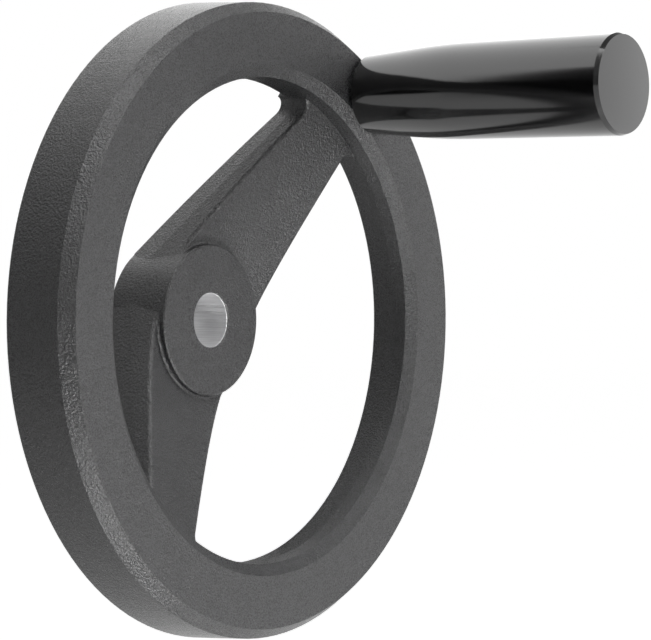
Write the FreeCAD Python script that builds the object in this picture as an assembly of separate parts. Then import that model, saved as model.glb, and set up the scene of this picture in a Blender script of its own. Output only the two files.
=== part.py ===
import FreeCAD, Part
import math
import os

from FreeCAD import Vector

# Machine handwheel, in millimetres: a dished aluminium wheel with two spokes in line, cast in one piece
# and hollow at the back, with a revolving handle that is screwed into its rim.
# The pieces are drawn with the wheel's axis along Z, the hub's rear face at Z = 0 and the handle towards
# +Z, and are turned at the end so that the handle points along -Y and +Z is up.

# Wheel: overall places along the axis, measured from the hub's rear face
hub_length = 16.5
face_ahead_of_hub = 17.5

# Rim: section, with depths measured back from its flat front face
wheel_radius = 70.0
rim_width = 17.15
rim_depth = 16.5
inner_wall_depth = 11.4
parting_depth = 5.0
outer_draft = 2.5
inner_draft = 5.6
outer_bevel_width = 2.2
outer_bevel_depth = 3.0
inner_bevel_width = 2.5
inner_bevel_depth = 1.9
front_wall = 5.5
outer_leg = 3.4
inner_leg = 3.5
channel_draft = 3.0
channel_corner = 1.5
leg_edge = 0.6

# Hub and bore
hub_radius = 16.75
hub_edge = 0.3
hub_rear_edge = 1.4
bore_radius = 6.0
bore_mouth = 0.4

# Spokes: two in line, with their half width at the axis and its taper. Their front face is a cone that lies
# behind the hub's face at the hub and behind the rim's face at the rim; their rear face is a shallow arch.
spoke_angle = 55.6
spoke_half_width = 16.6
spoke_taper = 0.148
spoke_front_at_hub = 2.1
spoke_front_at_rim = 5.35
spoke_rear_start = 2.8
spoke_rear_drop = 0.43
spoke_rear_arch = 1.1
spoke_rear_overlap = 0.4
spoke_ridge_depth = 3.6
spoke_side_draft = 4.0
spoke_front_edge = 0.8
spoke_foot_round = 0.6
spoke_flare = 2.4
spoke_plate = 4.3
spoke_flange = 3.6
spoke_rib = 3.0
pocket_corner = 1.6
pocket_corner_share = 0.45
pocket_floor_corner = 1.0
pocket_hub_wall = 3.0
pocket_rim_wall = 3.0

# Handle: where it stands on the rim's face, its boss and its tapped hole
handle_angle = 53.5
handle_outward = 1.2
boss_radius = 6.8
boss_depth = 14.0
thread_radius = 4.0
thread_length = 11.5
thread_hole_depth = 12.5
thread_play = 0.05
thread_mouth = 0.5

# Handle spindle
collar_radius = 6.0
collar_height = 3.0
collar_edge = 0.4
collar_across_flats = 10.0
journal_radius = 4.5
journal_length = 10.0
waist_radius = 4.0
spindle_reach = 54.0
spindle_edge = 0.6
ring_groove_depth = 0.9
ring_groove_from_end = 3.0

# Snap ring
ring_width = 1.2
ring_radial = 1.5
ring_gap_angle = 24.0
ring_play = 0.1

# Handle grip, with heights measured from the rim's front face
grip_base_radius = 8.95
grip_shoulder_radius = 10.72
grip_shoulder_height = 21.0
grip_shoulder_round = 160.0
grip_top_radius = 11.1
grip_length = 66.5
grip_end_bevel_width = 0.35
grip_end_bevel_height = 1.1
grip_end_dome = 0.4
grip_base_edge = 0.5
grip_base_gap = 0.4
grip_thrust_gap = 0.3
journal_play = 0.05
counterbore_play = 0.5
bore_end_gap = 1.5
ring_groove_play = 0.4

# Places that follow from the sizes above
rim_front = hub_length + face_ahead_of_hub
rim_rear = rim_front - rim_depth
inner_rear = rim_front - inner_wall_depth
parting_height = rim_front - parting_depth
inner_radius = wheel_radius - rim_width


def slope(angle):
    """Rise for each millimetre of run at an angle in degrees."""
    return math.tan(math.radians(angle))


side_radius = wheel_radius - (rim_depth - outer_bevel_depth) * slope(outer_draft)
face_outer_radius = side_radius - outer_bevel_width
bevel_inner_radius = inner_radius + (parting_depth - inner_bevel_depth) * slope(inner_draft)
face_inner_radius = bevel_inner_radius + inner_bevel_width
inner_rear_radius = inner_radius + (inner_wall_depth - parting_depth) * slope(inner_draft)
front_at_hub = hub_length - spoke_front_at_hub
front_at_rim = rim_front - spoke_front_at_rim
spoke_front_slope = (front_at_rim - front_at_hub) / (inner_radius - hub_radius)
spoke_root_radius = inner_rear_radius + inner_leg / 2
handle_radius = (face_outer_radius + face_inner_radius) / 2 + handle_outward


def corner_arc(before, point, after, radius):
    """Arc that rounds one corner of an outline, with its two ends."""
    to_before = (before - point).normalize()
    to_after = (after - point).normalize()
    half = to_before.getAngle(to_after) / 2
    reach = radius / math.tan(half)
    start = point + to_before * reach
    end = point + to_after * reach
    middle_direction = (to_before + to_after).normalize()
    middle = point + middle_direction * (radius / math.sin(half) - radius)
    return Part.Arc(start, middle, end).toShape(), start, end


def corner_bevel(before, point, after, reach):
    """Straight bevel across one corner of an outline, with its two ends."""
    start = point + (before - point).normalize() * reach
    end = point + (after - point).normalize() * reach
    return Part.makeLine(start, end), start, end


def rounded_wire(points, radii):
    """Closed wire through the points, each corner rounded by a radius, bevelled below 0 or sharp at 0."""
    count = len(points)
    corners = []
    for index, (point, radius) in enumerate(zip(points, radii)):
        before, after = points[index - 1], points[(index + 1) % count]
        if radius > 0:
            corners.append(corner_arc(before, point, after, radius))
        elif radius < 0:
            corners.append(corner_bevel(before, point, after, -radius))
        else:
            corners.append((None, point, point))
    edges = []
    for index, (corner, start, end) in enumerate(corners):
        if corner is not None:
            edges.append(corner)
        following = corners[(index + 1) % count][1]
        if (following - end).Length > 1e-6:
            edges.append(Part.makeLine(end, following))
    return Part.Wire(edges)


def turned(section):
    """Solid of revolution about Z from (radius, height, corner radius) points."""
    points = [Vector(radius, 0, height) for radius, height, _ in section]
    wire = rounded_wire(points, [corner for _, _, corner in section])
    return Part.Face(wire).revolve(Vector(), Vector(0, 0, 1), 360)


def rim():
    """Rim ring, channel shaped in section and open at the back."""
    channel_top = rim_front - front_wall
    leg_taper = (channel_top - inner_rear) * slope(channel_draft)
    outer_taper = (channel_top - rim_rear) * slope(channel_draft)
    channel_inner = inner_rear_radius + inner_leg
    channel_outer = wheel_radius - outer_leg
    return turned([
        (wheel_radius, rim_rear, -leg_edge),
        (side_radius, rim_front - outer_bevel_depth, 0),
        (face_outer_radius, rim_front, 0),
        (face_inner_radius, rim_front, 0),
        (bevel_inner_radius, rim_front - inner_bevel_depth, 0),
        (inner_radius, parting_height, 0),
        (inner_rear_radius, inner_rear, -leg_edge),
        (channel_inner, inner_rear, 0),
        (channel_inner + leg_taper, channel_top, -channel_corner),
        (channel_outer - outer_taper, channel_top, -channel_corner),
        (channel_outer, rim_rear, 0),
    ])


def hub():
    """Hub cylinder, before its bore."""
    return turned([
        (0, 0, 0),
        (hub_radius, 0, -hub_rear_edge),
        (hub_radius, hub_length, -hub_edge),
        (0, hub_length, 0),
    ])


def bore_tool():
    """What is taken out for the bore and its two mouths."""
    mouth = bore_radius + bore_mouth
    return turned([
        (0, -hub_length, 0),
        (mouth + hub_length, -hub_length, 0),
        (mouth, 0, 0),
        (bore_radius, bore_mouth, 0),
        (bore_radius, hub_length - bore_mouth, 0),
        (mouth, hub_length, 0),
        (mouth + bore_mouth, hub_length + bore_mouth, 0),
        (mouth + bore_mouth, rim_front, 0),
        (0, rim_front, 0),
    ])


def front_height(radius):
    """Height of the spokes' conical front face at a distance from the axis."""
    return front_at_hub + spoke_front_slope * (radius - hub_radius)


def web():
    """Ring behind the spokes' front face, from inside the hub to inside the rim, with a fillet at the hub."""
    core_radius = hub_radius / 2
    foot_angle = math.pi / 2 - math.atan(spoke_front_slope)
    foot = front_at_hub + spoke_foot_round / math.tan(foot_angle / 2)
    return turned([
        (core_radius, hub_rear_edge, 0),
        (spoke_root_radius, hub_rear_edge, 0),
        (spoke_root_radius, front_height(spoke_root_radius), 0),
        (hub_radius, front_at_hub, spoke_foot_round),
        (hub_radius, foot, 0),
        (core_radius, foot, 0),
    ])


def above_rear_arch():
    """Everything in front of a spoke's arched rear face."""
    near = Vector(spoke_rear_start, -wheel_radius, -spoke_rear_drop)
    far = Vector(spoke_root_radius + spoke_rear_overlap, -wheel_radius, inner_rear)
    crown = (near + far) / 2 - Vector(0, 0, spoke_rear_arch)
    front = Vector(0, 0, rim_front)
    face = Part.Face(Part.Wire([
        Part.Arc(near, crown, far).toShape(),
        Part.makeLine(far, far + front),
        Part.makeLine(far + front, near + front),
        Part.makeLine(near + front, near),
    ]))
    return face.extrude(Vector(0, 2 * wheel_radius, 0))


def flared_plan(half_width, taper, height):
    """Plan of a spoke along +X at one height: straight sides that flare into the rim, and then radial ones."""
    wall_radius = inner_radius + (parting_height - height) * slope(inner_draft)
    tilt = math.atan(taper)
    reach = half_width * math.cos(tilt) + spoke_flare
    arm = math.sqrt((wall_radius - spoke_flare) ** 2 - reach ** 2)
    outward = Vector(math.sin(tilt), math.cos(tilt), 0)
    along = Vector(math.cos(tilt), -math.sin(tilt), 0)
    centre = outward * reach + along * arm
    on_side = centre - outward * spoke_flare
    on_rim = centre * (wall_radius / centre.Length)
    middle = centre + ((on_side + on_rim) / 2 - centre).normalize() * spoke_flare
    root = on_rim * (wheel_radius / wall_radius)
    upper = [Vector(0, half_width, 0), on_side, middle, on_rim, root]
    lower = [Vector(point.x, -point.y, 0) for point in upper]
    wire = Part.Wire([
        Part.makeLine(upper[0], upper[1]),
        Part.Arc(upper[1], upper[2], upper[3]).toShape(),
        Part.makeLine(upper[3], upper[4]),
        Part.makeLine(upper[4], lower[4]),
        Part.makeLine(lower[4], lower[3]),
        Part.Arc(lower[3], lower[2], lower[1]).toShape(),
        Part.makeLine(lower[1], lower[0]),
        Part.makeLine(lower[0], upper[0]),
    ])
    wire.translate(Vector(0, 0, height))
    return wire


def drafted_plan(direction):
    """Spoke plan drawn out along the axis, narrower towards the front (+1) or towards the rear (-1)."""
    lean = direction * slope(spoke_side_draft)
    taper = spoke_taper - lean * spoke_front_slope
    ridge_at_axis = front_height(0) - spoke_ridge_depth
    wires = []
    for height in (-hub_length, rim_front):
        half_width = spoke_half_width + lean * (ridge_at_axis - height)
        wires.append(flared_plan(half_width, taper, height))
    return Part.makeLoft(wires, True, True)


def on_front_face(edge):
    """True for an edge that bounds the spokes' front face beside a spoke, outside the hub and inside the rim."""
    ends = [vertex.Point for vertex in edge.Vertexes]
    radii = [math.hypot(point.x, point.y) for point in ends]
    level = all(abs(point.z - front_height(radius)) < 1e-4 for point, radius in zip(ends, radii))
    between = all(hub_radius < radius < inner_radius + 1e-4 for radius in radii)
    return level and between and ends[0].y * ends[-1].y > 0


def pocket():
    """Hollow at the back of one half of a spoke, beside its central rib."""
    start = hub_radius + pocket_hub_wall
    end = inner_radius - pocket_rim_wall
    inner = spoke_rib / 2
    outer_start = spoke_half_width - spoke_taper * start - spoke_flange
    outer_end = spoke_half_width - spoke_taper * end - spoke_flange
    corner = min(pocket_corner, pocket_corner_share * (outer_end - inner))
    plan = [
        Vector(start, inner, 0),
        Vector(end, inner, 0),
        Vector(end, outer_end, 0),
        Vector(start, outer_start, 0),
    ]
    column = Part.Face(rounded_wire(plan, [corner] * len(plan)))
    column.translate(Vector(0, 0, -hub_length))
    column = column.extrude(Vector(0, 0, hub_length + rim_front))
    behind_plate = turned([
        (0, -2 * hub_length, 0),
        (inner_radius, -2 * hub_length, 0),
        (inner_radius, front_height(inner_radius) - spoke_plate, 0),
        (0, front_height(0) - spoke_plate, 0),
    ])
    hollow = column.common(behind_plate)
    floor = max(hollow.Faces, key=lambda face: face.CenterOfMass.z)
    return hollow.makeFillet(min(pocket_floor_corner, corner / 2), floor.Edges)


def spoke():
    """Spoke along +X: a conical front plate with drafted flanges and a central rib behind it."""
    body = drafted_plan(1).common(drafted_plan(-1)).common(web()).common(above_rear_arch())
    body = body.makeFillet(spoke_front_edge, [edge for edge in body.Edges if on_front_face(edge)])
    hollow = pocket()
    return body.cut([hollow, hollow.mirror(Vector(), Vector(0, 1, 0))])


def about_axis(shape, angle):
    """The shape turned about the wheel's axis by an angle in degrees."""
    copy = shape.copy()
    copy.rotate(Vector(), Vector(0, 0, 1), angle)
    return copy


def at_handle(shape):
    """The shape moved from the wheel's axis to the handle's axis, with Z = 0 on the rim's face."""
    copy = shape.copy()
    copy.translate(Vector(handle_radius, 0, rim_front))
    return about_axis(copy, handle_angle)


def handle_boss():
    """Boss in the rim's channel that takes the handle's thread, rooted halfway into the front wall."""
    root_depth = front_wall / 2
    return at_handle(Part.makeCylinder(boss_radius, boss_depth - root_depth, Vector(0, 0, -boss_depth)))


def thread_hole():
    """Tapped hole in the rim's face, with a countersunk mouth."""
    radius = thread_radius + thread_play
    return at_handle(turned([
        (0, -thread_hole_depth, 0),
        (radius, -thread_hole_depth, 0),
        (radius, -thread_mouth, 0),
        (radius + thread_mouth, 0, 0),
        (radius + thread_mouth, thread_mouth, 0),
        (0, thread_mouth, 0),
    ]))


def wheel():
    """The casting: rim, hub and spokes in one piece, with its machined bore and tapped hole."""
    arm = spoke()
    casting = hub().fuse(about_axis(arm, spoke_angle)).fuse(about_axis(arm, spoke_angle + 180))
    casting = casting.fuse(rim().fuse(handle_boss()))
    return casting.removeSplitter().cut([bore_tool(), thread_hole()])


def ring_seat_height():
    """Height of the snap ring's lower face above the rim's face."""
    return spindle_reach - ring_groove_from_end


def handle_spindle():
    """Stepped steel spindle: thread, collar with two flats, journals with a waist and a ring groove."""
    groove_bottom = ring_seat_height() - ring_play
    groove_top = ring_seat_height() + ring_width + ring_play
    groove_radius = journal_radius - ring_groove_depth
    body = turned([
        (0, -thread_length, 0),
        (thread_radius - spindle_edge, -thread_length, 0),
        (thread_radius, -thread_length + spindle_edge, 0),
        (thread_radius, 0, 0),
        (collar_radius, 0, 0),
        (collar_radius, collar_height, -collar_edge),
        (journal_radius, collar_height, 0),
        (journal_radius, collar_height + journal_length, 0),
        (waist_radius, collar_height + journal_length + journal_radius - waist_radius, 0),
        (waist_radius, groove_bottom - journal_length - journal_radius + waist_radius, 0),
        (journal_radius, groove_bottom - journal_length, 0),
        (journal_radius, groove_bottom, 0),
        (groove_radius, groove_bottom, 0),
        (groove_radius, groove_top, 0),
        (journal_radius, groove_top, 0),
        (journal_radius, spindle_reach - spindle_edge, 0),
        (journal_radius - spindle_edge, spindle_reach, 0),
        (0, spindle_reach, 0),
    ])
    width = 2 * collar_radius
    for side in (0, 180):
        flat = Part.makeBox(width, width, collar_height, Vector(-collar_radius, collar_across_flats / 2, 0))
        flat.rotate(Vector(), Vector(0, 0, 1), side)
        body = body.cut(flat)
    return at_handle(body)


def snap_ring():
    """Open ring in the spindle's groove that holds the grip on."""
    inner = journal_radius - ring_groove_depth + ring_play
    outer = inner + ring_radial
    height = ring_seat_height()
    section = Part.Face(Part.makePolygon([
        Vector(inner, 0, height),
        Vector(outer, 0, height),
        Vector(outer, 0, height + ring_width),
        Vector(inner, 0, height + ring_width),
        Vector(inner, 0, height),
    ]))
    return at_handle(section.revolve(Vector(), Vector(0, 0, 1), 360 - ring_gap_angle))


def handle_grip():
    """Revolving sleeve: a slender cone that rounds into a long barrel, closed at its end."""
    bore = journal_radius + journal_play
    counterbore = collar_radius + counterbore_play
    ring_room = journal_radius - ring_groove_depth + ring_play + ring_radial + ring_groove_play
    ring_bottom = ring_seat_height() - ring_groove_play
    ring_top = ring_seat_height() + ring_width + ring_groove_play
    end_radius = grip_top_radius - grip_end_bevel_width
    bevel_height = grip_length - grip_end_bevel_height
    body = turned([
        (0, grip_base_gap, 0),
        (grip_base_radius, grip_base_gap, -grip_base_edge),
        (grip_shoulder_radius, grip_shoulder_height, grip_shoulder_round),
        (grip_top_radius, bevel_height, 0),
        (end_radius, grip_length, 0),
        (0, grip_length, 0),
    ])
    dome_radius = (end_radius ** 2 + grip_end_dome ** 2) / (2 * grip_end_dome)
    dome = Part.makeSphere(dome_radius, Vector(0, 0, grip_length + grip_end_dome - dome_radius))
    cap = Part.makeCylinder(end_radius, grip_end_dome, Vector(0, 0, grip_length))
    hollow = turned([
        (0, 0, 0),
        (counterbore, 0, 0),
        (counterbore, collar_height + grip_thrust_gap, 0),
        (bore, collar_height + grip_thrust_gap, 0),
        (bore, ring_bottom, 0),
        (ring_room, ring_bottom, 0),
        (ring_room, ring_top, 0),
        (bore, ring_top, 0),
        (bore, spindle_reach + bore_end_gap, 0),
        (0, spindle_reach + bore_end_gap, 0),
    ])
    return at_handle(body.fuse(cap.common(dome)).removeSplitter().cut(hollow))


def in_row_frame(shape):
    """The shape turned so that the wheel's axis lies along Y, with the handle towards -Y."""
    copy = shape.copy()
    copy.rotate(Vector(), Vector(1, 0, 0), 90)
    return copy


pieces = {
    "wheel": wheel,
    "handle_spindle": handle_spindle,
    "snap_ring": snap_ring,
    "handle_grip": handle_grip,
}

os.makedirs("parts", exist_ok=True)
for name, build in pieces.items():
    solid = in_row_frame(build())
    solid.exportStep(os.path.join("parts", name + ".step"))
    print(name, len(solid.Solids), "solid", round(solid.Volume), "mm3", "valid", solid.isValid())
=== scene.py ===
"""Looks of a machine handwheel: a powder-coated cast wheel with a revolving moulded handle."""

import logging
import math
from dataclasses import dataclass, field
from enum import Enum
from typing import Any

import bpy
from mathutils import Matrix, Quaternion, Vector


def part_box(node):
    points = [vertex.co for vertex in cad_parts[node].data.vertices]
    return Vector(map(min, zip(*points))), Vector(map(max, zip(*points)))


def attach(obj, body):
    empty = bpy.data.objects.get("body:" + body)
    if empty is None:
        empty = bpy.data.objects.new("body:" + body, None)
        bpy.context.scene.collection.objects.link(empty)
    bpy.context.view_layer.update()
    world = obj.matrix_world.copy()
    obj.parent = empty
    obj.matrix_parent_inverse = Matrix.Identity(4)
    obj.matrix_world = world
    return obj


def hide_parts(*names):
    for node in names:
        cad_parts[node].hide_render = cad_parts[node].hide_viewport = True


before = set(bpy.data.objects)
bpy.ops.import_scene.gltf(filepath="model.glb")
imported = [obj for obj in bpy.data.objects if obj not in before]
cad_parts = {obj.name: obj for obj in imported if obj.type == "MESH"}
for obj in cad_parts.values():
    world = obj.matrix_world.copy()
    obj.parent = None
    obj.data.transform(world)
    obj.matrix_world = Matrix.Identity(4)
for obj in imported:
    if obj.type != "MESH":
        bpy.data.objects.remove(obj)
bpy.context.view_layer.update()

MM = 0.001
LOG = logging.getLogger("handwheel")

BYTE_MAX = 255
SRGB_KNEE = 0.04045
SRGB_SLOPE = 12.92
SRGB_OFFSET = 0.055
SRGB_POWER = 2.4

# A mix node's sockets share their names, so they are reached by number.
MIX_SHARE = 0
MIX_NUMBER_A, MIX_NUMBER_B, MIX_NUMBER_OUT = 2, 3, 0
MIX_COLOUR_A, MIX_COLOUR_B, MIX_COLOUR_OUT = 6, 7, 2


class NodeName(Enum):
    """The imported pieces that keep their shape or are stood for."""

    WHEEL = "wheel"
    SPINDLE = "handle_spindle"
    RING = "snap_ring"
    GRIP = "handle_grip"


class BodyName(Enum):
    """The two bodies of the part."""

    HANDWHEEL = "handwheel"
    GRIP = "grip"


def linear(code: str) -> tuple[float, float, float, float]:
    """Turn an sRGB hex colour into the linear colour that a shader takes.

    Args:
        code: Colour as six hex digits after a hash sign.

    Returns:
        Red, green, blue and an opacity of one.
    """
    shares = [int(code[start:start + 2], 16) / BYTE_MAX for start in (1, 3, 5)]
    red, green, blue = (
        share / SRGB_SLOPE
        if share <= SRGB_KNEE
        else ((share + SRGB_OFFSET) / (1 + SRGB_OFFSET)) ** SRGB_POWER
        for share in shares
    )
    return red, green, blue, 1.0


def per_metre(millimetres: float) -> float:
    """Return how many grains of a size in millimetres lie on a metre, as a texture's scale."""
    return 1 / (millimetres * MM)


def add_node(
    tree: bpy.types.NodeTree,
    kind: str,
    inputs: dict[str | int, Any] | None = None,
    **settings: Any,
) -> bpy.types.Node:
    """Add a node with its settings and inputs.

    Args:
        tree: Node tree that gets the node.
        kind: Type name of the node.
        inputs: Value of each named or numbered input, or the output socket that feeds it.
        **settings: Attributes of the node itself.

    Returns:
        The new node.
    """
    node = tree.nodes.new(kind)
    for name, value in settings.items():
        setattr(node, name, value)
    for socket, source in (inputs or {}).items():
        if isinstance(source, bpy.types.NodeSocket):
            tree.links.new(source, node.inputs[socket])
        else:
            node.inputs[socket].default_value = source
    return node


def blank_material(
    name: str,
) -> tuple[bpy.types.Material, bpy.types.NodeTree, bpy.types.NodeSocket]:
    """Make a material with no nodes but a source of object coordinates.

    Args:
        name: Name of the material and the process that finished it.

    Returns:
        The material, its node tree and the socket of its object coordinates.
    """
    material = bpy.data.materials.new(name)
    material.use_nodes = True
    tree = material.node_tree
    tree.nodes.clear()
    place = add_node(tree, "ShaderNodeTexCoord")
    return material, tree, place.outputs["Object"]


def close_material(tree: bpy.types.NodeTree, shader: bpy.types.Node) -> None:
    """Join a finished shader to the material's output."""
    add_node(tree, "ShaderNodeOutputMaterial", {"Surface": shader.outputs[0]})


@dataclass(frozen=True)
class TexturedPowderCoat:
    """Black fine-texture polyester powder on cast aluminium, left off the machined bore.

    The powder melts to small rounded grains, which break the sheen into fine points of light. The
    reamed bore is plain aluminium with faint marks along it. Real marks are finer than 0.1 mm, and
    they are drawn as wide as they need to be to show.
    """

    name: str = "fine_texture_powder_coat_on_cast_aluminium"
    dark: str = "#2f2f30"
    pale: str = "#565657"
    tone_range: tuple[float, float] = (0.36, 0.78)
    roughness: tuple[float, float] = (0.24, 0.36)
    sheen: float = 0.32
    grain_mm: float = 0.55
    grain_detail: float = 3.0
    grain_roughness: float = 0.62
    grain_height_mm: float = 0.36
    grain_strength: float = 1.0
    speck_mm: float = 0.32
    speck_detail: float = 1.0
    patch_mm: float = 9.0
    patch_detail: float = 2.0
    patch_share: float = 0.10
    even_roughness: float = 0.5
    bare_dark: str = "#9c9c9d"
    bare_pale: str = "#e6e6e7"
    bare_roughness: tuple[float, float] = (0.42, 0.58)
    bare_sheen: float = 0.5
    bare_radius_mm: float = 6.05
    mark_width_mm: float = 0.30
    mark_length_mm: float = 12.0
    mark_detail: float = 3.0
    mark_roughness: float = 0.6

    def bore_mask(
        self, tree: bpy.types.NodeTree, place: bpy.types.NodeSocket
    ) -> bpy.types.NodeSocket:
        """Make a mask that is one on the bore and zero elsewhere.

        Args:
            tree: Node tree of the material.
            place: Socket of the object coordinates.

        Returns:
            Socket of the mask.
        """
        across = add_node(
            tree, "ShaderNodeVectorMath", {0: place, 1: (1, 0, 1)}, operation="MULTIPLY"
        )
        radius = add_node(
            tree, "ShaderNodeVectorMath", {0: across.outputs["Vector"]}, operation="LENGTH"
        )
        inside = add_node(
            tree,
            "ShaderNodeMath",
            {0: radius.outputs["Value"], 1: self.bare_radius_mm * MM},
            operation="LESS_THAN",
        )
        return inside.outputs[0]

    def marks(
        self, tree: bpy.types.NodeTree, place: bpy.types.NodeSocket
    ) -> bpy.types.NodeSocket:
        """Make the long thin marks that a reamer leaves along the bore.

        Args:
            tree: Node tree of the material.
            place: Socket of the object coordinates.

        Returns:
            Socket of the marks' pattern, from zero to one.
        """
        squeeze = self.mark_width_mm / self.mark_length_mm
        stretched = add_node(
            tree, "ShaderNodeMapping", {"Vector": place, "Scale": (1, squeeze, 1)}
        )
        noise = add_node(
            tree,
            "ShaderNodeTexNoise",
            {
                "Vector": stretched.outputs[0],
                "Scale": per_metre(self.mark_width_mm),
                "Detail": self.mark_detail,
                "Roughness": self.mark_roughness,
            },
        )
        return noise.outputs[0]

    def material(self) -> bpy.types.Material:
        """Make the wheel's material.

        Returns:
            A material of grained powder coat with a bare bore.
        """
        material, tree, place = blank_material(self.name)
        grain, patches, specks = (
            add_node(
                tree,
                "ShaderNodeTexNoise",
                {"Vector": place, "Scale": per_metre(size), "Detail": detail, "Roughness": rough},
            )
            for size, detail, rough in (
                (self.grain_mm, self.grain_detail, self.grain_roughness),
                (self.patch_mm, self.patch_detail, self.even_roughness),
                (self.speck_mm, self.speck_detail, self.even_roughness),
            )
        )
        mottle = add_node(
            tree,
            "ShaderNodeMath",
            {0: patches.outputs[0], 1: self.patch_share, 2: specks.outputs[0]},
            operation="MULTIPLY_ADD",
        )
        tone = add_node(
            tree,
            "ShaderNodeMapRange",
            {
                "Value": mottle.outputs[0],
                "From Min": self.tone_range[0],
                "From Max": self.tone_range[1],
            },
        ).outputs[0]
        marks = self.marks(tree, place)
        inside = self.bore_mask(tree, place)
        coat, bare = (
            add_node(
                tree,
                "ShaderNodeMix",
                {MIX_SHARE: pattern, MIX_COLOUR_A: linear(dark), MIX_COLOUR_B: linear(pale)},
                data_type="RGBA",
            )
            for pattern, dark, pale in (
                (tone, self.dark, self.pale),
                (marks, self.bare_dark, self.bare_pale),
            )
        )
        coat_rough, bare_rough = (
            add_node(
                tree, "ShaderNodeMapRange", {"Value": pattern, "To Min": low, "To Max": high}
            )
            for pattern, (low, high) in ((tone, self.roughness), (marks, self.bare_roughness))
        )
        colour = add_node(
            tree,
            "ShaderNodeMix",
            {
                MIX_SHARE: inside,
                MIX_COLOUR_A: coat.outputs[MIX_COLOUR_OUT],
                MIX_COLOUR_B: bare.outputs[MIX_COLOUR_OUT],
            },
            data_type="RGBA",
        )
        rough, sheen, relief = (
            add_node(
                tree,
                "ShaderNodeMix",
                {MIX_SHARE: inside, MIX_NUMBER_A: on_coat, MIX_NUMBER_B: in_bore},
                data_type="FLOAT",
            ).outputs[MIX_NUMBER_OUT]
            for on_coat, in_bore in (
                (coat_rough.outputs[0], bare_rough.outputs[0]),
                (self.sheen, self.bare_sheen),
                (grain.outputs[0], marks),
            )
        )
        bump = add_node(
            tree,
            "ShaderNodeBump",
            {
                "Height": relief,
                "Distance": self.grain_height_mm * MM,
                "Strength": self.grain_strength,
            },
        )
        shader = add_node(
            tree,
            "ShaderNodeBsdfPrincipled",
            {
                "Base Color": colour.outputs[MIX_COLOUR_OUT],
                "Metallic": inside,
                "Roughness": rough,
                "Specular IOR Level": sheen,
                "Normal": bump.outputs[0],
            },
        )
        close_material(tree, shader)
        return material


@dataclass(frozen=True)
class MouldedPhenolic:
    """Black phenolic thermoset from a polished mould: a deep gloss with a barely wavy skin."""

    name: str = "black_phenolic_polished_mould"
    dark: str = "#141415"
    pale: str = "#1c1c1d"
    roughness: tuple[float, float] = (0.10, 0.15)
    ior: float = 1.6
    fleck_mm: float = 0.5
    fleck_detail: float = 4.0
    skin_mm: float = 2.4
    skin_detail: float = 1.0
    skin_height_mm: float = 0.004
    skin_strength: float = 0.5

    def material(self) -> bpy.types.Material:
        """Make the grip's material.

        Returns:
            A glossy black material with a faint skin.
        """
        material, tree, place = blank_material(self.name)
        flecks, skin = (
            add_node(
                tree,
                "ShaderNodeTexNoise",
                {"Vector": place, "Scale": per_metre(size), "Detail": detail},
            ).outputs[0]
            for size, detail in (
                (self.fleck_mm, self.fleck_detail),
                (self.skin_mm, self.skin_detail),
            )
        )
        colour = add_node(
            tree,
            "ShaderNodeMix",
            {MIX_SHARE: flecks, MIX_COLOUR_A: linear(self.dark), MIX_COLOUR_B: linear(self.pale)},
            data_type="RGBA",
        )
        rough = add_node(
            tree,
            "ShaderNodeMapRange",
            {"Value": flecks, "To Min": self.roughness[0], "To Max": self.roughness[1]},
        )
        bump = add_node(
            tree,
            "ShaderNodeBump",
            {
                "Height": skin,
                "Distance": self.skin_height_mm * MM,
                "Strength": self.skin_strength,
            },
        )
        shader = add_node(
            tree,
            "ShaderNodeBsdfPrincipled",
            {
                "Base Color": colour.outputs[MIX_COLOUR_OUT],
                "Roughness": rough.outputs[0],
                "IOR": self.ior,
                "Normal": bump.outputs[0],
            },
        )
        close_material(tree, shader)
        return material


@dataclass(frozen=True)
class TurnedSteel:
    """Bright or blackened turned steel: fine rings round the axis that stretch a highlight.

    A real cut leaves rings of about 0.1 mm, which are drawn coarser so that they show.
    """

    name: str
    dark: str
    pale: str
    roughness: tuple[float, float]
    ring_mm: float = 0.25
    ring_distortion: float = 1.5
    ring_detail: float = 2.0
    ring_height_mm: float = 0.006
    ring_strength: float = 0.6

    def material(self) -> bpy.types.Material:
        """Make the material of a turned or ground steel piece.

        Returns:
            A metal whose rings lie across the handle's axis.
        """
        material, tree, place = blank_material(self.name)
        rings = add_node(
            tree,
            "ShaderNodeTexWave",
            {
                "Vector": place,
                "Scale": per_metre(self.ring_mm) / math.tau,
                "Distortion": self.ring_distortion,
                "Detail": self.ring_detail,
            },
            bands_direction="Y",
        ).outputs["Fac"]
        colour = add_node(
            tree,
            "ShaderNodeMix",
            {MIX_SHARE: rings, MIX_COLOUR_A: linear(self.dark), MIX_COLOUR_B: linear(self.pale)},
            data_type="RGBA",
        )
        rough = add_node(
            tree,
            "ShaderNodeMapRange",
            {"Value": rings, "To Min": self.roughness[0], "To Max": self.roughness[1]},
        )
        bump = add_node(
            tree,
            "ShaderNodeBump",
            {
                "Height": rings,
                "Distance": self.ring_height_mm * MM,
                "Strength": self.ring_strength,
            },
        )
        shader = add_node(
            tree,
            "ShaderNodeBsdfPrincipled",
            {
                "Base Color": colour.outputs[MIX_COLOUR_OUT],
                "Metallic": 1.0,
                "Roughness": rough.outputs[0],
                "Normal": bump.outputs[0],
            },
        )
        close_material(tree, shader)
        return material


ZINC_PLATED = TurnedSteel("zinc_plated_turned_steel", "#8d9196", "#b4b8bc", (0.24, 0.36))
PHOSPHATED = TurnedSteel("phosphated_spring_steel", "#2f3032", "#47484a", (0.40, 0.55))


def dress(node: NodeName, material: bpy.types.Material) -> bpy.types.Object:
    """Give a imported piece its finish.

    Args:
        node: Name of the piece.
        material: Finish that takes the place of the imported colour.

    Returns:
        The piece.
    """
    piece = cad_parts[node.value]
    piece.data.materials.clear()
    piece.data.materials.append(material)
    LOG.info("%s wears %s", piece.name, material.name)
    return piece


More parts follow.
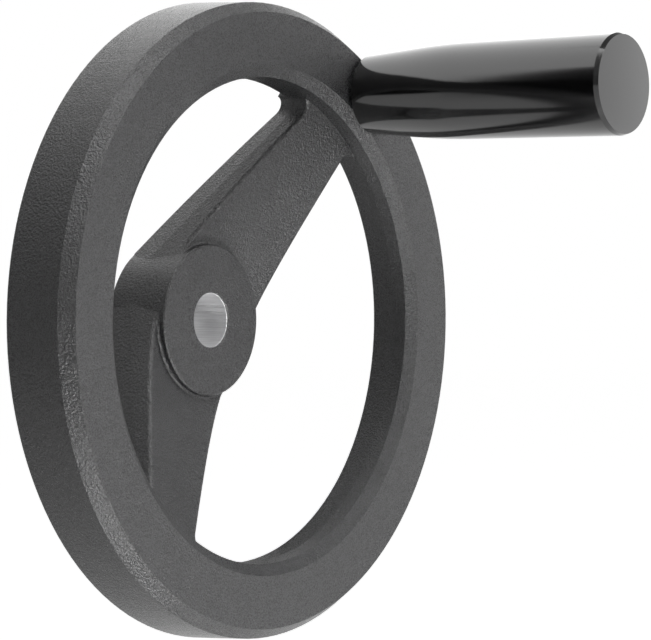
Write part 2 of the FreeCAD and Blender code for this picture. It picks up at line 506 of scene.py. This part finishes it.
@dataclass
class CastWheel:
    """The wheel: rim, spokes and hub in one casting, coated all over but for its machined bore."""

    coat: TexturedPowderCoat = field(default_factory=TexturedPowderCoat)

    def build(self) -> bpy.types.Object:
        """Coat the casting and return it."""
        return dress(NodeName.WHEEL, self.coat.material())


def turn(
    name: str, front: Vector, segments: int, rings: list[tuple[float, float]]
) -> bpy.types.Object:
    """Turn a piece on a lathe: draw a disc out along the handle's axis, ring by ring.

    Args:
        name: Name of the piece.
        front: Place on the handle's axis that heights are measured from, towards -Y.
        segments: Number of sides of each ring.
        rings: Radius and height of each ring in millimetres, the first being the disc.

    Returns:
        The closed piece, left in edit mode with its last face selected.
    """
    radius, height = rings[0]
    bpy.ops.object.select_all(action="DESELECT")
    bpy.ops.mesh.primitive_circle_add(
        vertices=segments,
        radius=radius * MM,
        fill_type="NGON",
        location=(front.x, front.y - height * MM, front.z),
        rotation=(math.pi / 2, 0, 0),
    )
    piece = bpy.context.object
    piece.name = piece.data.name = name
    bpy.ops.object.transform_apply(location=True, rotation=True, scale=True)
    bpy.ops.object.mode_set(mode="EDIT")
    for next_radius, next_height in rings[1:]:
        bpy.ops.mesh.extrude_region_move(
            TRANSFORM_OT_translate={"value": (0, (height - next_height) * MM, 0)}
        )
        share = next_radius / radius
        centre = (front.x, front.y - next_height * MM, front.z)
        bpy.ops.transform.resize(value=(share, 1, share), center_override=centre)
        radius, height = next_radius, next_height
    return piece


def close_turned(smooth_angle: float) -> None:
    """Face a turned piece outwards, leave edit mode and shade the piece smooth.

    Args:
        smooth_angle: Angle in degrees up to which an edge is smooth.
    """
    bpy.ops.mesh.select_all(action="SELECT")
    bpy.ops.mesh.normals_make_consistent(inside=False)
    bpy.ops.object.mode_set(mode="OBJECT")
    bpy.ops.object.shade_smooth_by_angle(angle=math.radians(smooth_angle))


def stand_in(piece: bpy.types.Object, node: NodeName, body: BodyName) -> None:
    """Let a modelled piece ride a body in place of a packed one.

    Args:
        piece: The modelled piece.
        node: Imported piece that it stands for.
        body: Body that carries it.
    """
    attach(piece, body.value)
    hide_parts(node.value)
    LOG.info("%s modelled, %d faces", piece.name, len(piece.data.polygons))


@dataclass
class Spindle:
    """Steel spindle with a rolled thread, in millimetres, with heights from the thread's tip."""

    thread_radius: float = 4.0
    thread_length: float = 11.5
    thread_pitch: float = 1.25
    thread_depth: float = 0.61
    rings_per_pitch: int = 8
    run_out: float = 1.3
    height_slack: float = 0.001
    tip_bevel: float = 0.6
    collar_radius: float = 6.0
    collar_height: float = 3.0
    collar_edge: float = 0.4
    collar_across_flats: float = 10.0
    flats_angle: float = 53.5
    journal_radius: float = 4.5
    journal_length: float = 10.0
    waist_radius: float = 4.0
    groove_radius: float = 3.6
    groove_from: float = 62.4
    groove_to: float = 63.8
    length: float = 65.5
    segments: int = 64
    smooth_angle: float = 32.0

    def thread_heights(self) -> list[float]:
        """List the heights of the rings that carry the thread.

        Returns:
            Heights from behind the tip's bevel to below the collar, in millimetres.
        """
        step = self.thread_pitch / self.rings_per_pitch
        count = int((self.thread_length - self.tip_bevel) / step)
        return [self.tip_bevel + step * index for index in range(1, count)]

    def outline(self) -> list[tuple[float, float]]:
        """List the spindle's outline.

        Returns:
            Radius and height of each ring, in millimetres.
        """
        collar_top = self.thread_length + self.collar_height
        step = self.journal_radius - self.waist_radius
        waist_from = collar_top + self.journal_length + step
        waist_to = self.groove_from - self.journal_length - step
        return [
            (self.thread_radius - self.tip_bevel, 0.0),
            (self.thread_radius, self.tip_bevel),
            *((self.thread_radius, height) for height in self.thread_heights()),
            (self.thread_radius, self.thread_length),
            (self.collar_radius, self.thread_length),
            (self.collar_radius, collar_top - self.collar_edge),
            (self.collar_radius - self.collar_edge, collar_top),
            (self.journal_radius, collar_top),
            (self.journal_radius, waist_from - step),
            (self.waist_radius, waist_from),
            (self.waist_radius, waist_to),
            (self.journal_radius, waist_to + step),
            (self.journal_radius, self.groove_from),
            (self.groove_radius, self.groove_from),
            (self.groove_radius, self.groove_to),
            (self.journal_radius, self.groove_to),
            (self.journal_radius, self.length - self.tip_bevel),
            (self.journal_radius - self.tip_bevel, self.length),
        ]

    def cut_thread(self, mesh: bpy.types.Mesh, tip: Vector) -> None:
        """Press the helix of the thread into the plain shank, fading out at both ends.

        The thread's profile is a triangle, with a crest halfway through each turn.

        Args:
            mesh: Mesh of the spindle, in place.
            tip: Tip of the spindle, on its axis.
        """
        heights = self.thread_heights()
        first, last = heights[0], heights[-1]
        for vertex in mesh.vertices:
            along = (tip.y - vertex.co.y) / MM
            if not first - self.height_slack <= along <= last + self.height_slack:
                continue
            across = Vector((vertex.co.x - tip.x, 0, vertex.co.z - tip.z))
            turns = math.atan2(across.z, across.x) / math.tau
            phase = (along / self.thread_pitch - turns) % 1.0
            to_end = min(along - first, last - along)
            fade = max(0.0, min(1.0, to_end / self.run_out))
            radius = self.thread_radius - self.thread_depth * abs(2 * phase - 1) * fade
            across *= radius * MM / across.length
            vertex.co.x, vertex.co.z = tip.x + across.x, tip.z + across.z

    def cut_flats(self, mesh: bpy.types.Mesh, tip: Vector) -> None:
        """Press the collar's two flats, which take a spanner.

        Args:
            mesh: Mesh of the spindle, in place.
            tip: Tip of the spindle, on its axis.
        """
        angle = math.radians(self.flats_angle)
        normal = Vector((-math.sin(angle), 0, math.cos(angle)))
        limit = self.collar_across_flats / 2 * MM
        for vertex in mesh.vertices:
            out = (vertex.co - tip) @ normal
            if abs(out) > limit:
                vertex.co -= normal * (out - math.copysign(limit, out))

    def build(self) -> bpy.types.Object:
        """Model the spindle with its thread and flats.

        Returns:
            The spindle, riding on the wheel.
        """
        low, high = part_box(NodeName.SPINDLE.value)
        tip = Vector(((low.x + high.x) / 2, high.y, (low.z + high.z) / 2))
        piece = turn("threaded_spindle", tip, self.segments, self.outline())
        close_turned(self.smooth_angle)
        self.cut_thread(piece.data, tip)
        self.cut_flats(piece.data, tip)
        piece.data.materials.append(ZINC_PLATED.material())
        stand_in(piece, NodeName.SPINDLE, BodyName.HANDWHEEL)
        return piece


@dataclass
class Grip:
    """Moulded sleeve, finely turned for clean reflections.

    Sizes are in millimetres, and heights start at the rim's face.
    """

    base_gap: float = 0.4
    base_radius: float = 8.95
    base_edge: float = 0.5
    cone_radius: float = 8.9505
    shoulder_radius: float = 10.72
    shoulder_height: float = 21.0
    shoulder_round: float = 160.0
    shoulder_steps: int = 8
    barrel_steps: int = 6
    top_radius: float = 11.1
    bevel_from: float = 65.4
    bevel_width: float = 0.35
    length: float = 66.5
    dome_height: float = 0.4
    dome_rings: tuple[float, ...] = (9.6, 8.0, 6.0, 4.0, 2.0, 0.8)
    bore_radius: float = 4.55
    bore_end: float = 55.5
    ring_room_radius: float = 5.6
    ring_room: tuple[float, float] = (50.6, 52.6)
    counterbore_radius: float = 6.5
    counterbore_depth: float = 3.3
    segments: int = 128
    smooth_angle: float = 14.0

    def inside(self) -> list[tuple[float, float]]:
        """List the rings of the bore.

        Returns:
            Radius and height of each ring, from the closed end out to the mouth.
        """
        return [
            (self.bore_radius, self.bore_end),
            (self.bore_radius, self.ring_room[1]),
            (self.ring_room_radius, self.ring_room[1]),
            (self.ring_room_radius, self.ring_room[0]),
            (self.bore_radius, self.ring_room[0]),
            (self.bore_radius, self.counterbore_depth),
            (self.counterbore_radius, self.counterbore_depth),
            (self.counterbore_radius, self.base_gap),
        ]

    def shoulder(self) -> list[tuple[float, float]]:
        """Round the corner between the slender cone and the barrel.

        Returns:
            Radius and height of each ring of the rounding, from the cone to the barrel.
        """
        corner = Vector((self.shoulder_radius, self.shoulder_height))
        cone = corner - Vector((self.base_radius, self.base_gap))
        barrel = Vector((self.top_radius, self.bevel_from)) - corner
        reach = self.shoulder_round * math.tan(cone.angle(barrel) / 2)
        start, end = corner - cone.normalized() * reach, corner + barrel.normalized() * reach
        rings = []
        for step in range(self.shoulder_steps + 1):
            share = step / self.shoulder_steps
            point = start.lerp(corner, share).lerp(corner.lerp(end, share), share)
            rings.append((point.x, point.y))
        return rings

    def outside(self) -> list[tuple[float, float]]:
        """List the rings of the skin.

        Returns:
            Radius and height of each ring, from the mouth to the end's dome.
        """
        shoulder = self.shoulder()
        last = Vector(shoulder[-1])
        top = Vector((self.top_radius, self.bevel_from))
        shares = [step / self.barrel_steps for step in range(1, self.barrel_steps + 1)]
        barrel = [tuple(last.lerp(top, share)) for share in shares]
        end_radius = self.top_radius - self.bevel_width
        dome = [
            (radius, self.length + self.dome_height * (1 - (radius / end_radius) ** 2))
            for radius in (end_radius, *self.dome_rings)
        ]
        base = [
            (self.base_radius - self.base_edge, self.base_gap),
            (self.cone_radius, self.base_gap + self.base_edge),
        ]
        return [*base, *shoulder, *barrel, *dome]

    def build(self) -> bpy.types.Object:
        """Model the grip as one closed skin, with the pole of its end drawn together.

        Returns:
            The grip, riding on its own body.
        """
        low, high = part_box(NodeName.GRIP.value)
        rim_y = high.y + self.base_gap * MM
        rim_face = Vector(((low.x + high.x) / 2, rim_y, (low.z + high.z) / 2))
        rings = self.inside() + self.outside()
        piece = turn("moulded_grip", rim_face, self.segments, rings)
        bpy.ops.mesh.merge(type="CENTER")
        close_turned(self.smooth_angle)
        piece.data.materials.append(MouldedPhenolic().material())
        stand_in(piece, NodeName.GRIP, BodyName.GRIP)
        return piece


@dataclass
class RevolvingHandle:
    """The handle: a threaded spindle in the rim, a snap ring on it and the revolving sleeve."""

    spindle: Spindle = field(default_factory=Spindle)
    grip: Grip = field(default_factory=Grip)

    def build(self) -> list[bpy.types.Object]:
        """Return the handle's three pieces, built and dressed."""
        ring_finish = PHOSPHATED.material()
        return [self.spindle.build(), dress(NodeName.RING, ring_finish), self.grip.build()]


@dataclass(frozen=True)
class Softbox:
    """One rectangular lamp behind a diffuser, aimed at the object.

    Sizes and places are in metres. The radiance is how bright its face looks, where one is white.
    """

    name: str
    centre: tuple[float, float, float]
    size: tuple[float, float]
    radiance: float
    target: tuple[float, float, float] = (0.0, -0.04, 0.0)

    def build(self) -> bpy.types.Object:
        """Hang the lamp.

        Returns:
            The lamp's object.
        """
        lamp = bpy.data.lights.new(self.name, "AREA")
        lamp.shape = "RECTANGLE"
        lamp.size, lamp.size_y = self.size
        lamp.energy = self.radiance * math.pi * self.size[0] * self.size[1]
        piece = bpy.data.objects.new(self.name, lamp)
        bpy.context.scene.collection.objects.link(piece)
        piece.location = self.centre
        aim = Vector(self.target) - Vector(self.centre)
        piece.rotation_euler = aim.to_track_quat("-Z", "Y").to_euler()
        piece.visible_camera = False
        LOG.info("%s at %s", self.name, self.centre)
        return piece


@dataclass(frozen=True)
class MirrorCard:
    """A card that only reflections see, aimed at the object like a lamp.

    A glow of zero is black velvet, which gives a gloss its dark bands. A glow of one is as bright
    as white paper, and a higher one is a lit panel. The roll turns the card in its own plane, in
    degrees. Sizes and places are in metres.
    """

    name: str
    centre: tuple[float, float, float]
    size: tuple[float, float]
    glow: float = 0.0
    roll: float = 0.0

    def build(self) -> bpy.types.Object:
        """Stand the card up.

        Returns:
            The card.
        """
        bpy.ops.object.select_all(action="DESELECT")
        bpy.ops.mesh.primitive_plane_add(size=1)
        card = bpy.context.object
        card.name = self.name
        card.scale = (*self.size, 1)
        aim = (-Vector(self.centre)).to_track_quat("Z", "Y")
        card.rotation_euler = (aim @ Quaternion((0, 0, 1), math.radians(self.roll))).to_euler()
        card.location = self.centre
        material, tree, _ = blank_material(self.name)
        close_material(tree, add_node(tree, "ShaderNodeEmission", {"Strength": self.glow}))
        card.data.materials.append(material)
        for kind in ("camera", "diffuse", "shadow", "transmission"):
            setattr(card, f"visible_{kind}", False)
        return card


@dataclass(frozen=True)
class PhotoView:
    """Where the photograph was taken from.

    Angles are in degrees. The place and the nearest and farthest distances are in metres.
    """

    azimuth: float = -54.243
    elevation: float = 1.428
    roll: float = -0.597
    location: tuple[float, float, float] = (-0.5625, -0.4526, 0.0175)
    lens_mm: float = 177.81
    sensor_mm: float = 36.0
    nearest: float = 0.05
    farthest: float = 30.0

    def build(self) -> bpy.types.Object:
        """Set up the camera.

        Returns:
            The scene's camera.
        """
        azimuth, elevation = math.radians(self.azimuth), math.radians(self.elevation)
        level = Vector((math.sin(azimuth), -math.cos(azimuth), 0)) * math.cos(elevation)
        upright = (level + Vector((0, 0, math.sin(elevation)))).to_track_quat("Z", "Y")
        camera = bpy.data.objects.new("camera", bpy.data.cameras.new("camera"))
        bpy.context.scene.collection.objects.link(camera)
        camera.rotation_mode = "QUATERNION"
        camera.rotation_quaternion = upright @ Quaternion((0, 0, 1), math.radians(self.roll))
        camera.location = self.location
        camera.data.lens = self.lens_mm
        camera.data.sensor_width = self.sensor_mm
        camera.data.clip_start = self.nearest
        camera.data.clip_end = self.farthest
        bpy.context.scene.camera = camera
        return camera


@dataclass
class Studio:
    """The plain pale studio: floor, white surround, softboxes, cards and camera.

    The floor's and the surround's strengths are shares of white. Lengths are in metres.
    """

    floor_drop: float = 0.30
    floor_size: float = 12.0
    floor_colour: str = "#e6e6e6"
    floor_glow: float = 0.95
    ambient: str = "#ffffff"
    ambient_strength: float = 0.06
    mirrored_strength: float = 0.30
    view: PhotoView = field(default_factory=PhotoView)
    lamps: tuple[Softbox, ...] = (
        Softbox("front_top_softbox", (-0.10, -0.50, 1.00), (0.8, 0.6), 1.5),
        Softbox("front_softbox", (0.55, -1.22, 0.38), (0.8, 0.55), 6.4),
        Softbox("front_right_softbox", (1.15, -0.95, 0.10), (1.0, 0.8), 1.5),
    )
    cards: tuple[MirrorCard, ...] = (
        MirrorCard("rear_left_card", (-0.40, 0.565, 0.64), (1.20, 0.56), 2.4, 46.7),
        MirrorCard("rear_right_card", (0.490, 0.565, 0.56), (1.20, 0.56), 2.4, -60.7),
        MirrorCard("front_top_card", (-0.10, -0.42, 0.80), (0.6, 0.5), 17.0),
        MirrorCard("front_low_card", (-0.075, -0.20, -0.28), (0.24, 0.20), 32.0),
        MirrorCard("left_top_strip", (-0.50, -0.02, 0.62), (0.12, 0.95), 5.0),
        MirrorCard("left_low_strip", (-0.28, -0.02, -0.20), (0.08, 0.26), 6.0),
        MirrorCard("side_card", (-0.92, 0.66, 0.16), (0.75, 0.40)),
        MirrorCard("rim_card", (0.073, 0.060, 0.004), (0.08, 0.082)),
        MirrorCard("left_card", (-0.547, 0.149, 0.08), (0.32, 0.74)),
    )

    def build_world(self) -> None:
        """Surround the object with dim light that the camera sees as white and a gloss as grey."""
        world = bpy.data.worlds.new("studio")
        world.use_nodes = True
        bpy.context.scene.world = world
        tree = world.node_tree
        tree.nodes.clear()
        path = add_node(tree, "ShaderNodeLightPath")
        mirrored = add_node(
            tree,
            "ShaderNodeMath",
            {0: path.outputs["Is Glossy Ray"], 1: self.mirrored_strength},
            operation="MULTIPLY",
        )
        strength = mirrored.outputs[0]
        rays = (path.outputs["Is Camera Ray"], path.outputs["Is Transmission Ray"])
        for other in (self.ambient_strength, *rays):
            higher = add_node(tree, "ShaderNodeMath", {0: strength, 1: other}, operation="MAXIMUM")
            strength = higher.outputs[0]
        surround = add_node(
            tree, "ShaderNodeBackground", {"Color": linear(self.ambient), "Strength": strength}
        )
        add_node(tree, "ShaderNodeOutputWorld", {"Surface": surround.outputs[0]})

    def build_floor(self) -> bpy.types.Object:
        """Lay the pale floor, which glows towards white for the camera and in a gloss.

        Returns:
            The floor.
        """
        bpy.ops.object.select_all(action="DESELECT")
        bpy.ops.mesh.primitive_plane_add(
            size=self.floor_size, location=(0, 0, -self.floor_drop)
        )
        floor = bpy.context.object
        floor.name = "floor"
        material, tree, _ = blank_material("matt_white_paper_roll")
        paper = add_node(tree, "ShaderNodeBsdfDiffuse", {"Color": linear(self.floor_colour)})
        path = add_node(tree, "ShaderNodeLightPath")
        seen = add_node(
            tree,
            "ShaderNodeMath",
            {0: path.outputs["Is Camera Ray"], 1: path.outputs["Is Glossy Ray"]},
            operation="MAXIMUM",
        )
        amount = add_node(
            tree,
            "ShaderNodeMath",
            {0: seen.outputs[0], 1: self.floor_glow},
            operation="MULTIPLY",
        )
        glow = add_node(tree, "ShaderNodeEmission", {"Strength": amount.outputs[0]})
        both = add_node(tree, "ShaderNodeAddShader", {0: paper.outputs[0], 1: glow.outputs[0]})
        close_material(tree, both)
        floor.data.materials.append(material)
        return floor

    def build(self) -> None:
        """Set up the floor, the surround, the lamps, the cards and the camera."""
        self.build_world()
        self.build_floor()
        for fitting in (*self.lamps, *self.cards):
            fitting.build()
        self.view.build()
        bpy.context.scene.view_settings.view_transform = "Standard"
        LOG.info("studio ready, %d lamps and %d cards", len(self.lamps), len(self.cards))


def main() -> None:
    """Dress the wheel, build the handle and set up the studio."""
    logging.basicConfig(level=logging.INFO, format="%(name)s: %(message)s")
    CastWheel().build()
    RevolvingHandle().build()
    Studio().build()


if __name__ == "__main__":
    main()
